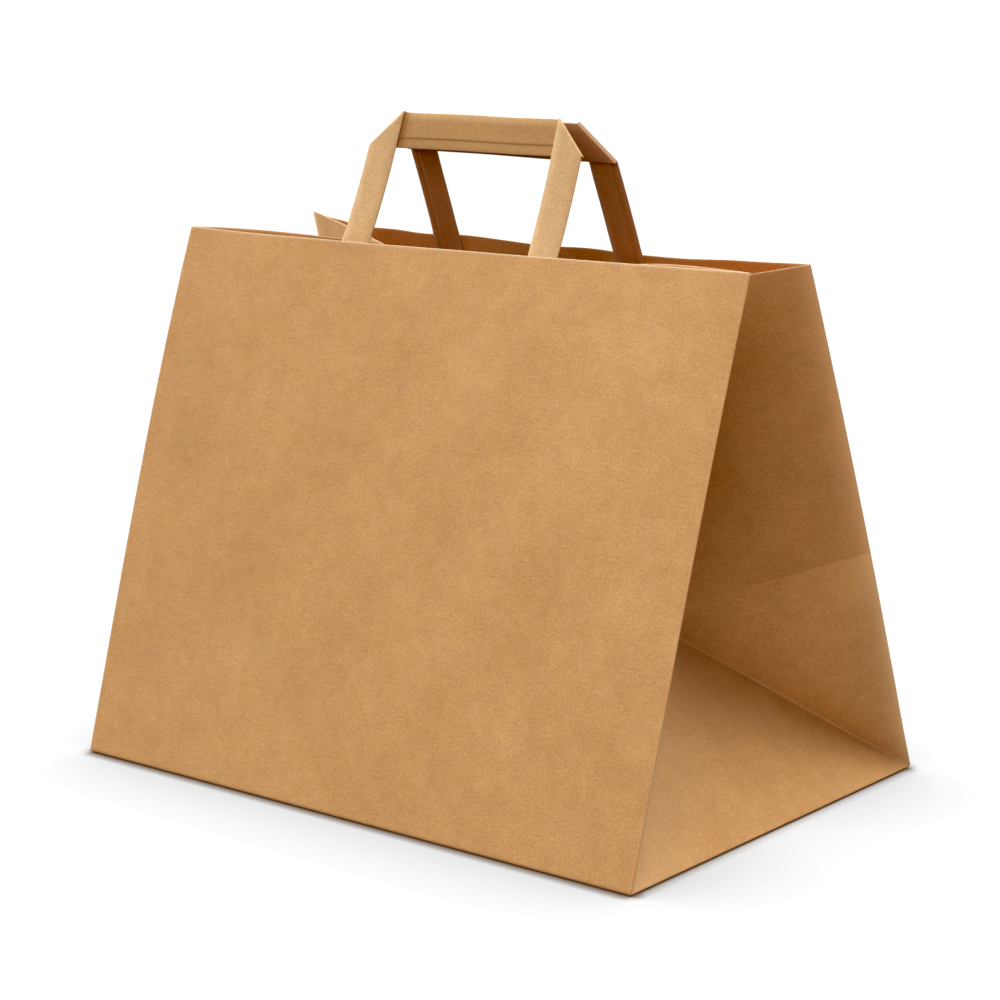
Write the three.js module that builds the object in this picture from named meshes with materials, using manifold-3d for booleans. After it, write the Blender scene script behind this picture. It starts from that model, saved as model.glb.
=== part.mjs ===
// Flat handle kraft paper bag: one folded sheet with gusseted sides and a block bottom,
// two flat paper handles, and the two patches that hold the handle ends inside the mouth.
// Millimetres, +Z up. The bag stands on z = 0, its front panel faces -Y and its middle is x = y = 0.
import * as THREE from 'three';
import { mergeVertices } from 'three/addons/utils/BufferGeometryUtils.js';
import Module from 'manifold-3d';

const wasm = await Module();
wasm.setup();

// Folded sheet. The panel height runs along the paper, from the bottom fold to the cut rim.
const bagWidth = 320;
const bagDepth = 222;
const panelHeight = 257;
const paperThickness = 0.25;
const seamLap = 18;
const seamFromEdge = 34;
const seamInset = 0.5;
const bottomLap = 24;

// Mouth, half closed. Each rim end lies this far from the bag's middle plane.
// The back edges toe in and bend at the crease, and the handles draw the middle of both rims inwards.
const frontRimOut = 34.7;
const backRimOutLeft = 46;
const backRimOutRight = 27;
const backToeInLeft = 3;
const backToeInRight = 7;
const backRidgeLeft = 2;
const backRidgeRight = 7.5;
const rimDrawIn = 2.6;
const cornerFlare = 9;
const cornerFlareReach = 28;

// Top of each gusset's centre fold, below the rim ends and forward of the middle between them.
const foldTipDropLeft = 8;
const foldTipDropRight = 22;
const foldTipForwardLeft = 20;
const foldTipForwardRight = 1;

// Handles. The legs converge upwards and the grip's middle line lies gripRise above the rim.
const stripWidth = 16.5;
const stripThickness = 0.9;
const stripPly = 0.15;
const stripLapIn = 4.5;
const foldGap = 0.7;
const legSpacing = 109.4;
const legConverge = 1.25;
const gripRise = 54.5;
const gripMiddle = -1;
const gripGap = 10.4;
const frontHandleShift = -2;
const backHandleShift = 2.8;
const tailLength = 38;
const rimBend = 8;

// Patches over the handle ends, which reach past the ramps round each end, and the film of glue.
const patchBelowRim = 9;
const patchSideMargin = 6;
const patchFootMargin = 8;
const patchThickness = 0.25;
const patchRamp = 4;
const patchEase = 1;
const patchMiddleColumns = 4;
const glueGap = 0.3;

// Facets across the panels, and up the paper below and above the crease.
// Half a gusset has as many across as lie below the crease, because they share the slanting folds.
const panelColumns = 20;
const baseColumns = 8;
const lowRows = 5;
const highRows = 7;
const halfColumns = lowRows;
const bendFacets = 6;

const halfWidth = bagWidth / 2;
const halfDepth = bagDepth / 2;
const creaseHeight = halfDepth;
const topLength = panelHeight - creaseHeight;
const baseLevel = 2.5 * paperThickness;
const radians = THREE.MathUtils.degToRad;
const vec = (x, y, z) => new THREE.Vector3(x, y, z);
const between = (a, b, t) => a.clone().lerp(b, t);

// Closed solids

// Faces of a grid of points numbered row by row. Turned faces look the other way.
function gridFaces(columns, rows, turned) {
  const faces = [];
  for (let j = 0; j < rows; j += 1) {
    for (let i = 0; i < columns; i += 1) {
      const a = j * (columns + 1) + i;
      const b = a + 1;
      const c = b + columns + 1;
      const d = a + columns + 1;
      const pair = [[a, b, c], [a, c, d]];
      faces.push(...pair.map((face) => (turned ? face.reverse() : face)));
    }
  }
  return faces;
}

// A closed body from one sheet of faces with an outer and an inner place for each of its points.
function closedSheet(faces, outer, inner) {
  const shift = outer.length;
  const edges = new Set();
  const triangles = [];
  for (const [a, b, c] of faces) {
    triangles.push(a, b, c, shift + c, shift + b, shift + a);
    edges.add(`${a},${b}`).add(`${b},${c}`).add(`${c},${a}`);
  }
  for (const edge of edges) {
    const [a, b] = edge.split(',').map(Number);
    if (!edges.has(`${b},${a}`)) triangles.push(b, a, shift + a, b, shift + a, shift + b);
  }
  const geometry = new THREE.BufferGeometry();
  geometry.setFromPoints([...outer, ...inner]);
  geometry.setIndex(triangles);
  return geometry;
}

// Points closer than this are one point.
const sameWithin = 1e-3;

function solid(geometry) {
  geometry.deleteAttribute('normal');
  geometry.deleteAttribute('uv');
  const merged = mergeVertices(geometry, sameWithin);
  const vertProperties = new Float32Array(merged.attributes.position.array);
  const triVerts = new Uint32Array(merged.index.array);
  return new wasm.Manifold(new wasm.Mesh({ numProp: 3, vertProperties, triVerts }));
}

function geometryOf(body) {
  const { vertProperties, triVerts } = body.getMesh();
  const geometry = new THREE.BufferGeometry();
  geometry.setAttribute('position', new THREE.BufferAttribute(vertProperties, 3));
  geometry.setIndex(new THREE.BufferAttribute(triVerts, 1));
  return geometry;
}

function paperMesh(name, geometry, color) {
  geometry.computeVertexNormals();
  const material = new THREE.MeshStandardMaterial({ color, roughness: 0.9, metalness: 0 });
  const mesh = new THREE.Mesh(geometry, material);
  mesh.name = name;
  return mesh;
}

// Corners of the folds, for each side: -1 is left and +1 is right.

// The front rim at x across the panel. The paper keeps its length where the rim is drawn in.
function frontRim(x) {
  const run = halfDepth - frontRimOut + rimDrawIn * (1 - (x / halfWidth) ** 2) ** 2;
  return vec(x, run - halfDepth, baseLevel + Math.sqrt(panelHeight ** 2 - run ** 2));
}

// The back edge is bent at the crease, which stands out of the straight line by the ridge.
function backEdge(side) {
  const rimOut = side < 0 ? backRimOutLeft : backRimOutRight;
  const toeIn = side < 0 ? backToeInLeft : backToeInRight;
  const ridge = side < 0 ? backRidgeLeft : backRidgeRight;
  const lowReach = Math.sqrt(creaseHeight ** 2 - toeIn ** 2 - ridge ** 2);
  const chord = lowReach + Math.sqrt(topLength ** 2 - ridge ** 2);
  const run = halfDepth - rimOut;
  const along = vec(0, -run, Math.sqrt(chord ** 2 - run ** 2)).divideScalar(chord);
  const out = vec(0, along.z, -along.y);
  const bottom = vec(side * halfWidth, halfDepth, baseLevel);
  const inset = bottom.clone().setX(side * (halfWidth - toeIn));
  const crease = inset.clone().addScaledVector(along, lowReach).addScaledVector(out, ridge);
  const top = inset.clone().addScaledVector(along, chord);
  return { bottom, crease, top };
}

// The gusset's lower triangle tips inwards until the paper beside it fits the leaning front edge.
function gussetApex(side) {
  const sine = (halfDepth - frontRimOut) / panelHeight;
  const tipCosine = (1 - sine) / Math.sqrt(1 - sine ** 2);
  const inwards = halfDepth * Math.sqrt(1 - tipCosine ** 2);
  return vec(side * (halfWidth - inwards), 0, baseLevel + halfDepth * tipCosine);
}

// Both halves of the gusset are half the depth wide, so their fold's tip swings about the rim ends.
function foldTip(side) {
  const front = frontRim(side * halfWidth);
  const back = backEdge(side).top;
  const drop = side < 0 ? foldTipDropLeft : foldTipDropRight;
  const forward = side < 0 ? foldTipForwardLeft : foldTipForwardRight;
  const halfGap = front.distanceTo(back) / 2;
  const reach = Math.sqrt(halfDepth ** 2 - halfGap ** 2 - drop ** 2);
  return between(front, back, 0.5).add(vec(-side * reach, -forward, -drop));
}

// Panels, as ruled surfaces over the paper: x across it and h up it from the bottom fold.

function frontPoint(x, h) {
  return between(vec(x, -halfDepth, baseLevel), frontRim(x), h / panelHeight);
}

const leftEdge = backEdge(-1);
const rightEdge = backEdge(1);

// The flare at the left corner dies away along the rim.
const settled = (fromCorner) => 1 - Math.exp(-fromCorner / cornerFlareReach);

function backPoint(x, h) {
  const across = x / halfWidth;
  const share = (1 + across) / 2;
  const crease = between(leftEdge.crease, rightEdge.crease, share);
  if (h <= creaseHeight) {
    return between(between(leftEdge.bottom, rightEdge.bottom, share), crease, h / creaseHeight);
  }
  const fromCorner = x + halfWidth;
  const rim = between(leftEdge.top, rightEdge.top, share);
  const slope = Math.hypot(rim.y - crease.y, rim.z - crease.z);
  rim.y -= rimDrawIn * (1 - across ** 4);
  rim.y -= cornerFlare * (settled(fromCorner) / settled(bagWidth) - share);
  rim.z = crease.z + Math.sqrt(slope ** 2 - (rim.y - crease.y) ** 2);
  return between(crease, rim, (h - creaseHeight) / topLength);
}

// Each panel carries a handle about a middle line of its own, and x runs from there in true length.
const legX = legSpacing / 2;

function handlePanel(at, inwards, shift) {
  const stretch = legSpacing / at(shift - legX, panelHeight).distanceTo(at(shift + legX, panelHeight));
  return { at: (x, h) => at(shift + x * stretch, h), inwards };
}

const frontPanel = handlePanel(frontPoint, 1, frontHandleShift);
const backPanel = handlePanel(backPoint, -1, backHandleShift);

// A point of the panel at a height above the rim, so deep inside the paper's middle.
// The panel's slope is measured over a short step.
const slopeStep = 0.5;

function insidePanel(panel, x, height, depth) {
  const h = panelHeight + height;
  const across = panel.at(x + slopeStep, h).sub(panel.at(x - slopeStep, h));
  const up = panel.at(x, h).sub(panel.at(x, h - slopeStep));
  const normal = up.cross(across).normalize().multiplyScalar(panel.inwards);
  return panel.at(x, h).addScaledVector(normal, depth);
}

// Bag body

// The net of the folded sheet: patches share the points where they meet.
const net = { points: [], faces: [], places: new Map() };

function netPoint(point) {
  const key = point.toArray().map((value) => Math.round(value / sameWithin)).join();
  if (!net.places.has(key)) {
    net.places.set(key, net.points.length);
    net.points.push(point);
  }
  return net.places.get(key);
}

// One patch of the net, from its point at column i and row j. Corners that meet leave no face.
function addPatch(columns, rows, turned, pointAt) {
  const numbers = [];
  for (let j = 0; j <= rows; j += 1) {
    for (let i = 0; i <= columns; i += 1) numbers.push(netPoint(pointAt(i, j)));
  }
  const faces = gridFaces(columns, rows, turned).map((face) => face.map((corner) => numbers[corner]));
  net.faces.push(...faces.filter(([a, b, c]) => a !== b && b !== c && c !== a));
}

// Evenly spaced shares of a length, both ends included.
const evenly = (count, length) => Array.from({ length: count + 1 }, (_, k) => (length * k) / count);

// Lines across the panels: evenly spaced ones, and the two edges of the seam's lap.
const seamRight = halfWidth - seamFromEdge;
const seamLeft = seamRight - seamLap;
const columnPitch = bagWidth / panelColumns;
const lines = [seamLeft, seamRight];
for (const x of evenly(panelColumns, bagWidth).map((run) => run - halfWidth)) {
  const nearest = Math.min(Math.abs(x - seamLeft), Math.abs(x - seamRight));
  if (nearest > columnPitch / 4) lines.push(x);
}
lines.sort((a, b) => a - b);
const lineCount = lines.length - 1;

const depths = evenly(baseColumns, bagDepth).map((run) => halfDepth - run);
const frontHeights = evenly(highRows, panelHeight);
const lowHeights = evenly(lowRows, creaseHeight);
const highHeights = evenly(highRows, topLength).map((run) => creaseHeight + run);
addPatch(lineCount, baseColumns, false, (i, j) => vec(lines[i], depths[j], baseLevel));
addPatch(lineCount, highRows, false, (i, j) => frontPoint(lines[i], frontHeights[j]));
addPatch(lineCount, lowRows, true, (i, j) => backPoint(lines[i], lowHeights[j]));
addPatch(lineCount, highRows, true, (i, j) => backPoint(lines[i], highHeights[j]));

for (const side of [-1, 1]) {
  const turned = side < 0;
  const frontBottom = vec(side * halfWidth, -halfDepth, baseLevel);
  const frontTop = frontRim(side * halfWidth);
  const back = backEdge(side);
  const apex = gussetApex(side);
  const tip = foldTip(side);
  addPatch(baseColumns, lowRows, turned, (i, j) => (
    between(between(frontBottom, back.bottom, i / baseColumns), apex, j / lowRows)
  ));
  addPatch(halfColumns, highRows, turned, (i, j) => (
    between(
      between(frontBottom, frontTop, j / highRows),
      between(apex, tip, j / highRows),
      i / halfColumns,
    )
  ));
  addPatch(halfColumns, lowRows, turned, (i, j) => (
    between(back.bottom, between(apex, back.crease, i / halfColumns), j / lowRows)
  ));
  addPatch(halfColumns, highRows, turned, (i, j) => (
    between(
      between(apex, tip, j / highRows),
      between(back.crease, back.top, j / highRows),
      i / halfColumns,
    )
  ));
}

// For each point, the step that moves every face around it outwards by one unit.
// A sharp fold is blunted, and the small weight settles the step along flat paper.
const sharpest = 2.5;
const flatWeight = 1e-3;

function outwardSteps(points, faces) {
  const sums = points.map(() => ({
    matrix: new THREE.Matrix3().multiplyScalar(flatWeight),
    normal: vec(0, 0, 0),
  }));
  for (const face of faces) {
    const [a, b, c] = face.map((corner) => points[corner]);
    const normal = b.clone().sub(a).cross(c.clone().sub(a)).normalize();
    const { x, y, z } = normal;
    const outer = [x * x, x * y, x * z, x * y, y * y, y * z, x * z, y * z, z * z];
    face.forEach((corner, k) => {
      const before = points[face[(k + 2) % 3]].clone().sub(points[corner]);
      const after = points[face[(k + 1) % 3]].clone().sub(points[corner]);
      const angle = before.angleTo(after);
      const sum = sums[corner];
      sum.normal.addScaledVector(normal, angle);
      outer.forEach((value, place) => {
        sum.matrix.elements[place] += angle * value;
      });
    });
  }
  return sums.map(({ matrix, normal }) => normal.applyMatrix3(matrix.invert()).clampLength(1, sharpest));
}

const steps = outwardSteps(net.points, net.faces);
const offset = (distance) => net.points.map((point, k) => point.clone().addScaledVector(steps[k], distance));
const halfPaper = paperThickness / 2;
let bagBody = solid(closedSheet(net.faces, offset(halfPaper), offset(-halfPaper)));

// The lap of the tube's glued seam, one more thickness of paper on the outside of the back panel.
const seamPanel = { at: backPoint, inwards: -1 };
const lapLines = lines.filter((x) => x >= seamLeft && x <= seamRight);
const lapHeights = [...lowHeights.slice(1), ...highHeights.slice(1, -1)];
const lapRows = [seamInset, ...lapHeights, panelHeight - seamInset].map((h) => h - panelHeight);
const lapSheet = (outwards) => (
  lapRows.flatMap((height) => lapLines.map((x) => insidePanel(seamPanel, x, height, -outwards)))
);
const lapFaces = gridFaces(lapLines.length - 1, lapRows.length - 1, true);
bagBody = bagBody.add(solid(closedSheet(lapFaces, lapSheet(halfPaper + paperThickness), lapSheet(0))));

// Bottom flaps, folded in from the long edges with 45 degree ends. The back one laps the front one.
// Each is thicker than the paper by half, to reach into the paper that it is glued to.
const flapThickness = 1.5 * paperThickness;

function flap(foldY, frontY, backY, level) {
  const outline = new THREE.Shape();
  const endAt = (y) => halfWidth - paperThickness - Math.abs(y - foldY);
  outline.moveTo(-endAt(frontY), frontY);
  outline.lineTo(endAt(frontY), frontY);
  outline.lineTo(endAt(backY), backY);
  outline.lineTo(-endAt(backY), backY);
  const body = new THREE.ExtrudeGeometry(outline, { depth: flapThickness, bevelEnabled: false });
  return solid(body.translate(0, 0, level));
}

const flapReach = halfDepth - paperThickness;
const halfLap = bottomLap / 2;
bagBody = bagBody.add(flap(-halfDepth, -flapReach, halfLap, paperThickness));
bagBody = bagBody.add(flap(halfDepth, halfLap - paperThickness, flapReach, paperThickness));
bagBody = bagBody.add(flap(halfDepth, -halfLap, halfLap + paperThickness, 0));

// Handles

// The handle's own frame: across the legs, up the leaning plane, and inwards through the strip.
const tailDepth = halfPaper + glueGap;

function handleFrame(panel) {
  const left = panel.at(-legX, panelHeight);
  const right = panel.at(legX, panelHeight);
  const origin = between(left, right, 0.5);
  const x = right.sub(left).normalize();
  const level = vec(0, 0, 1).cross(x).normalize().multiplyScalar(panel.inwards);
  const top = gripRise + stripWidth / 2;
  const inner = tailDepth + 2 * stripThickness + foldGap;
  const target = panel.inwards * (gripMiddle - origin.y) - gripGap / 2;
  const lean = Math.asin(target / Math.hypot(top, inner)) - Math.atan2(inner, top);
  const upright = x.clone().cross(level).normalize().multiplyScalar(panel.inwards);
  const up = level.clone().multiplyScalar(Math.sin(lean)).addScaledVector(upright, Math.cos(lean));
  const inwards = level.clone().multiplyScalar(Math.cos(lean)).addScaledVector(upright, -Math.sin(lean));
  const at = (across, height, depth) => (
    origin.clone().addScaledVector(x, across).addScaledVector(up, height).addScaledVector(inwards, depth)
  );
  return { at, x, up, inwards };
}

// One strip all the way: left tail, leg, slanting fold, grip behind the legs, and back down the right.
// A row of the strip gives the place of a point at a share of its width, so deep under its outer face.
function makeHandle(panel) {
  const frame = handleFrame(panel);
  const converge = radians(legConverge);
  const foldAngle = (Math.PI / 2 - converge) / 2;
  const halfFold = stripWidth / 2 / Math.tan(foldAngle);
  const halfAcross = stripWidth / 2 / Math.cos(converge);
  const foldDepth = tailDepth + stripThickness + foldGap / 2;
  const legAt = (height) => legX - height * Math.tan(converge);
  const onPanel = (x, height, depth) => insidePanel(panel, x, height, depth);
  const legRow = (side, height, place) => (share, deep) => (
    place(side * (legAt(height) + halfAcross * (1 - 2 * share)), height, tailDepth + deep)
  );
  const foldRow = (side, turn) => (share, deep) => {
    const x = side * (legAt(gripRise) + halfFold * (1 - 2 * share));
    const height = gripRise + stripWidth * (share - 0.5);
    const radius = stripThickness + foldGap / 2 - deep;
    const point = frame.at(x, height, foldDepth - radius * Math.cos(turn));
    point.addScaledVector(frame.x, side * radius * Math.sin(turn) * Math.sin(foldAngle));
    return point.addScaledVector(frame.up, radius * Math.sin(turn) * Math.cos(foldAngle));
  };
  const halfStrip = (side) => {
    const rows = [
      legRow(side, -tailLength, onPanel),
      legRow(side, -tailLength / 2, onPanel),
      legRow(side, -rimBend / 2, onPanel),
      legRow(side, rimBend, frame.at),
    ];
    for (let k = 0; k <= bendFacets; k += 1) rows.push(foldRow(side, (Math.PI * k) / bendFacets));
    return rows;
  };
  const rows = [...halfStrip(-1), ...halfStrip(1).reverse()];

  // The strip's plies end in a lap that leaves a narrow thinner border on its inner face.
  const lapShare = stripLapIn / stripWidth;
  const stepShare = lapShare + stripPly / stripWidth;
  const thin = stripThickness - stripPly;
  const section = [[0, thin], [lapShare, thin], [stepShare, stripThickness], [1, stripThickness]];
  const near = rows.flatMap((row) => section.map(([share]) => row(share, 0)));
  const far = rows.flatMap((row) => section.map(([share, thickness]) => row(share, thickness)));
  return closedSheet(gridFaces(section.length - 1, rows.length - 1, panel.inwards < 0), near, far);
}

// Patches

// A patch lies on the panel, and steps over each tail with a short ramp all round it.
function makePatch(panel) {
  const onPanel = halfPaper + glueGap;
  const overTail = onPanel + stripThickness + glueGap;
  const tailSpread = tailLength * Math.tan(radians(legConverge));
  const bandIn = legX - stripWidth / 2 - patchEase;
  const bandOut = legX + stripWidth / 2 + tailSpread + patchEase;
  const rampEnd = bandOut + patchRamp;
  const middleSet = evenly(patchMiddleColumns, bandIn - patchRamp);
  const rightSet = [...middleSet, bandIn, legX, bandOut, rampEnd, rampEnd + patchSideMargin];
  const xs = [...rightSet.slice(1).reverse().map((x) => -x), ...rightSet];
  const overEnd = -tailLength - patchEase;
  const rampFoot = overEnd - patchRamp;
  const heights = [rampFoot - patchFootMargin, rampFoot, overEnd, -patchBelowRim];
  const depthAt = (x, height) => {
    const over = Math.abs(x) >= bandIn && Math.abs(x) <= bandOut && height >= overEnd;
    return over ? overTail : onPanel;
  };
  const sheet = (extra) => heights.flatMap((height) => (
    xs.map((x) => insidePanel(panel, x, height, depthAt(x, height) + extra))
  ));
  const faces = gridFaces(xs.length - 1, heights.length - 1, panel.inwards < 0);
  return closedSheet(faces, sheet(0), sheet(patchThickness));
}

const sheetColour = '#c69460';
const stripColour = '#d4a879';
const bag = new THREE.Group();
bag.add(paperMesh('bag_body', geometryOf(bagBody), sheetColour));
bag.add(paperMesh('front_handle', makeHandle(frontPanel), stripColour));
bag.add(paperMesh('back_handle', makeHandle(backPanel), stripColour));
bag.add(paperMesh('front_handle_patch', makePatch(frontPanel), sheetColour));
bag.add(paperMesh('back_handle_patch', makePatch(backPanel), sheetColour));

export default bag;
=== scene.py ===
import math
import bpy
import numpy as np
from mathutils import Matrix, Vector


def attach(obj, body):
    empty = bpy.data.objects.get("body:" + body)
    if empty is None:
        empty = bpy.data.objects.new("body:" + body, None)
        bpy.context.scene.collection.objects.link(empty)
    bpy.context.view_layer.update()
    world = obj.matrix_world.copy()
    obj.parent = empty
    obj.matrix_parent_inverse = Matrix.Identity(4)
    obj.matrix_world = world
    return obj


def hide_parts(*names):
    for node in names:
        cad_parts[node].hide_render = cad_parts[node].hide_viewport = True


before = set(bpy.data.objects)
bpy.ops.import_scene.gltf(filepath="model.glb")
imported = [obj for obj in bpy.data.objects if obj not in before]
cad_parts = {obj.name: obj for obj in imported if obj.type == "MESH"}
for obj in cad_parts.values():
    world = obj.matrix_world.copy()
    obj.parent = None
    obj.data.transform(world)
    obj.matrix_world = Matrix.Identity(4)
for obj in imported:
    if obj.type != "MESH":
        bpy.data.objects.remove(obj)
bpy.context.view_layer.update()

# Bag body
# One sheet of brown kraft paper, glued to a tube along a lap on the back panel and folded to a
# block bottom with deep side gussets. The bag stands half open, so its panels lean and the gussets
# fold in. Sizes are in millimetres, as in the solids.
MM = 0.001
bag_width, bag_depth, panel_height = 320.0, 222.0, 257.0
paper_thickness = 0.25
half_width, half_depth = bag_width / 2, bag_depth / 2
crease_height = half_depth
top_length = panel_height - crease_height
base_level = 2.5 * paper_thickness
front_rim_out = 34.7
back_rim_out = {-1: 46.0, 1: 27.0}
back_toe_in = {-1: 3.0, 1: 7.0}
back_ridge = {-1: 2.0, 1: 8.6}
rim_draw_in, corner_flare, corner_flare_reach = 2.6, 9.0, 28.0
fold_tip_drop = {-1: 4.7, 1: 22.0}
fold_tip_forward = {-1: 20.0, 1: 1.0}
# The front panel is a little wider at its rim than at its foot, the back panel a little narrower.
front_rim_spread, front_foot_spread, back_rim_spread = 1.7, -0.75, -1.1
# Between its foot and its rim each panel bows out a little and is widest. The front panel's bow
# leans towards its rim, and its slow waves fade out towards its foot.
front_bow, front_swell, back_bow, back_swell = 2.2, 0.55, 0.4, 0.2
front_bow_base, front_bow_lean, front_wave_foot = 2.0, 3.4, 90.0
# The rims curl up and dip here and there: (height, place, reach) for each.
front_rim_curls = [(0.8, -half_width, 22.0)]
back_rim_curls = [(1.35, half_width - 12.0, 38.0), (-0.5, 70.0, 25.0),
                  (1.0, -36.0, 22.0), (-1.0, -112.0, 18.0)]
# The bottom edges reach out by what their rounding takes back.
foot_reach, front_side_reach, back_side_reach = 1.3, 1.1, 0.6


def at(x, y, z):
    return np.array((x, y, z), float)


def between(a, b, t):
    return a + (b - a) * t


def unit(a):
    return a / np.linalg.norm(a)


def curl(curls, x):
    return sum(height * math.exp(-((x - place) / reach) ** 2) for height, place, reach in curls)


def front_rim(x):
    run = half_depth - front_rim_out + rim_draw_in * (1 - (x / half_width) ** 2) ** 2
    wide = x * (1 + front_rim_spread / half_width)
    rise = math.sqrt(panel_height ** 2 - run ** 2) + curl(front_rim_curls, x)
    return at(wide, run - half_depth, base_level + rise)


def front_foot(x):
    wide = x * (1 + (front_foot_spread + front_side_reach) / half_width)
    return at(wide, -half_depth - foot_reach, base_level)


def back_edge(side):
    low = math.sqrt(crease_height ** 2 - back_toe_in[side] ** 2 - back_ridge[side] ** 2)
    chord = low + math.sqrt(top_length ** 2 - back_ridge[side] ** 2)
    run = half_depth - back_rim_out[side]
    along = at(0, -run, math.sqrt(chord ** 2 - run ** 2)) / chord
    out = at(0, along[2], -along[1])
    bottom = at(side * (half_width + back_side_reach), half_depth + foot_reach, base_level)
    inset = at(side * (half_width - back_toe_in[side]), half_depth, base_level)
    moved = at(side * back_rim_spread, 0, curl(back_rim_curls, side * half_width))
    return bottom, inset + along * low + out * back_ridge[side], inset + along * chord + moved


def gusset_apex(side):
    sine = (half_depth - front_rim_out) / panel_height
    tip_cosine = (1 - sine) / math.sqrt(1 - sine ** 2)
    inwards = half_depth * math.sqrt(1 - tip_cosine ** 2)
    return at(side * (half_width - inwards), 0, base_level + half_depth * tip_cosine)


def fold_tip(side):
    front, back = front_rim(side * half_width), back_edge(side)[2]
    half_gap = np.linalg.norm(front - back) / 2
    drop = fold_tip_drop[side]
    reach = math.sqrt(half_depth ** 2 - half_gap ** 2 - drop ** 2)
    return (front + back) / 2 + at(-side * reach, -fold_tip_forward[side], -drop)


# The panels' slow waves: (height, waves per metre across, waves per metre up, phase) for each.
front_waves = [(0.30, 6.1, 4.3, 0.4), (0.22, 11.7, -7.9, 2.1), (0.12, 21.0, 9.0, 4.4)]
back_waves = [(0.60, 5.2, 3.1, 1.1), (0.45, 13.3, 6.5, 0.2), (0.30, 23.9, -4.0, 3.0)]


def ripple(waves, x, h):
    return sum(a * math.sin(math.tau * (p * x + q * h) * MM + phase) for a, p, q, phase in waves)


def front_point(x, h):
    foot, rim = front_foot(x), front_rim(x)
    up = h / panel_height
    bowed = up * (1 - up) * (front_bow_base + front_bow_lean * up)
    held = (1 - (x / half_width) ** 4) * math.sin(min(1, h / front_wave_foot) * math.pi / 2)
    normal = unit(np.cross(at(1, 0, 0), rim - foot))
    out = held * ripple(front_waves, x, h) + front_bow * bowed
    return between(foot, rim, up) + normal * out + at(x / half_width * front_swell * bowed, 0, 0)


left_edge, right_edge = back_edge(-1), back_edge(1)


def settled(from_corner):
    return 1 - math.exp(-from_corner / corner_flare_reach)


def back_point(x, h):
    across = x / half_width
    share = (1 + across) / 2
    crease = between(left_edge[1], right_edge[1], share)
    if h <= crease_height:
        return between(between(left_edge[0], right_edge[0], share), crease, h / crease_height)
    rim = between(left_edge[2], right_edge[2], share)
    slope = math.hypot(rim[1] - crease[1], rim[2] - crease[2])
    rim[1] -= rim_draw_in * (1 - across ** 4)
    rim[1] -= corner_flare * (settled(x + half_width) / settled(bag_width) - share)
    rim[2] = crease[2] + math.sqrt(slope ** 2 - (rim[1] - crease[1]) ** 2)
    rim[2] += curl(back_rim_curls, x)
    rim[2] -= between(curl(back_rim_curls, -half_width), curl(back_rim_curls, half_width), share)
    up = (h - crease_height) / top_length
    bowed = 4 * up * (1 - up)
    normal = unit(np.cross(rim - crease, at(1, 0, 0)))
    out = (1 - across ** 4) * up * ripple(back_waves, x, h) + back_bow * bowed
    return between(crease, rim, up) + normal * out + at(across * back_swell * bowed, 0, 0)


# Shares of a length that lie close together at the folds at its ends, where the paper bends.
fold_steps = [0.0, 0.3, 0.7, 1.3, 2.2, 3.6, 5.6, 8.0]


def fold_shares(length, pitch):
    near, far = fold_steps[-1], length - fold_steps[-1]
    middle = np.linspace(near, far, max(2, round((far - near) / pitch) + 1))
    ending = [length - step for step in reversed(fold_steps[:-1])]
    return np.concatenate([fold_steps[:-1], middle, ending]) / length


panel_pitch, slant_pitch, deep_pitch = 5.5, 5.0, 6.0
seam_from_edge, seam_width, seam_clear = 34.0, 18.0, 2.0
seam_right = half_width - seam_from_edge
seam_left = seam_right - seam_width
across_lines = fold_shares(bag_width, panel_pitch) * bag_width - half_width
across_lines = [x for x in across_lines
                if min(abs(x - seam_left), abs(x - seam_right)) > seam_clear]
across_lines = sorted(across_lines + [seam_left, seam_right])
up_shares = fold_shares(panel_height, panel_pitch)
slant_shares = fold_shares(half_depth, slant_pitch)
deep_shares = fold_shares(bag_depth, deep_pitch)

sheet_points, sheet_faces, sheet_uvs, sheet_places = [], [], [], {}


def sheet_point(p):
    key = tuple(np.round(p, 3))
    if key not in sheet_places:
        sheet_places[key] = len(sheet_points)
        sheet_points.append(p)
    return sheet_places[key]


# One face of the folded sheet, with its place on the flat blank as UV.
def fold_face(columns, rows, turned, place, flat):
    numbers = [[sheet_point(place(c, r)) for c in columns] for r in rows]
    for j in range(len(rows) - 1):
        for i in range(len(columns) - 1):
            cells = [(i, j), (i + 1, j), (i + 1, j + 1), (i, j + 1)]
            if turned:
                cells.reverse()
            face, uv = [], []
            for a, b in cells:
                number = numbers[b][a]
                if number not in face:
                    face.append(number)
                    uv.append(flat(columns[a], rows[b]))
            if len(face) > 2:
                sheet_faces.append(face)
                sheet_uvs.append(uv)


def corners_blend(a, b, c, d, u, v):
    return between(between(a, b, u), between(c, d, u), v)


fold_face(across_lines, deep_shares, True,
          lambda x, v: between(front_foot(x), back_point(x, 0), v),
          lambda x, v: (x, -bag_depth * v))
fold_face(across_lines, up_shares, False,
          lambda x, v: front_point(x, panel_height * v),
          lambda x, v: (x, panel_height * v))
fold_face(across_lines, slant_shares, True,
          lambda x, v: back_point(x, crease_height * v),
          lambda x, v: (bag_width + bag_depth - x, crease_height * v))
fold_face(across_lines, up_shares, True,
          lambda x, v: back_point(x, crease_height + top_length * v),
          lambda x, v: (bag_width + bag_depth - x, crease_height + top_length * v))

# The front half of the left gusset bulges back from its fold, and that of the right one lies along
# the front panel before it turns in: the two handles of a curve from the front rim's end to the
# fold's tip.
gusset_rim_reach = {-1: (at(28, 14, 0.2), at(-36, -4, 1.8)),
                    1: (at(-73, 5, 2.5), at(24.5, -13, 20))}
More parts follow.
